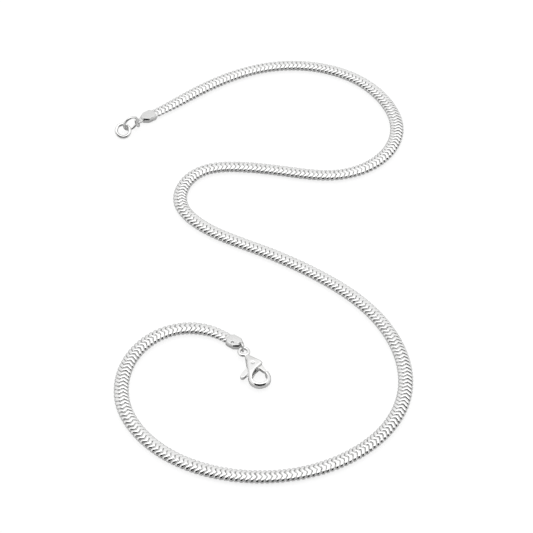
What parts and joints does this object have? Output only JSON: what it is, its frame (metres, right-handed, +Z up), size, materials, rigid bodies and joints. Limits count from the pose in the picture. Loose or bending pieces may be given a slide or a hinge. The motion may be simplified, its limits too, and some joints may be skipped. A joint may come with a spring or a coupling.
{
  "type": "herringbone chain necklace",
  "caption": "Flat woven silver-coloured chain lying unclasped in an S, with a cap at each end, a pair of linked rings on one cap and a lobster clasp on the other.",
  "frame": {"origin": "centre of the bounding box's bottom face, on the table", "axes": "+X to the right and +Y away from the viewer along the table, +Z up from it"},
  "size_m": [0.084, 0.1612, 0.0051],
  "materials": {
    "chain_silver": "bright polished woven silver",
    "cap_silver": "polished silver",
    "ring_silver": "polished silver",
    "clasp_silver": "polished silver"
  },
  "bodies": {
    "necklace": {"chain": "chain_silver", "end_cap_left": "cap_silver", "end_cap_right": "cap_silver", "cap_link_left": "ring_silver", "cap_link_right": "ring_silver", "jump_ring": "ring_silver", "end_ring": "ring_silver", "clasp_body": "clasp_silver", "lever_pin": "clasp_silver"},
    "lever": {"clasp_lever": "clasp_silver"}
  },
  "joints": [
    {"name": "lever_turn", "type": "hinge", "parent": "necklace", "child": "lever", "pos_m": [-0.00148, -0.04223, 0.0013], "axis": [0, 0, -1], "range_deg": [0, 24], "stiffness_Nm_per_rad": 0.01}
  ]
}
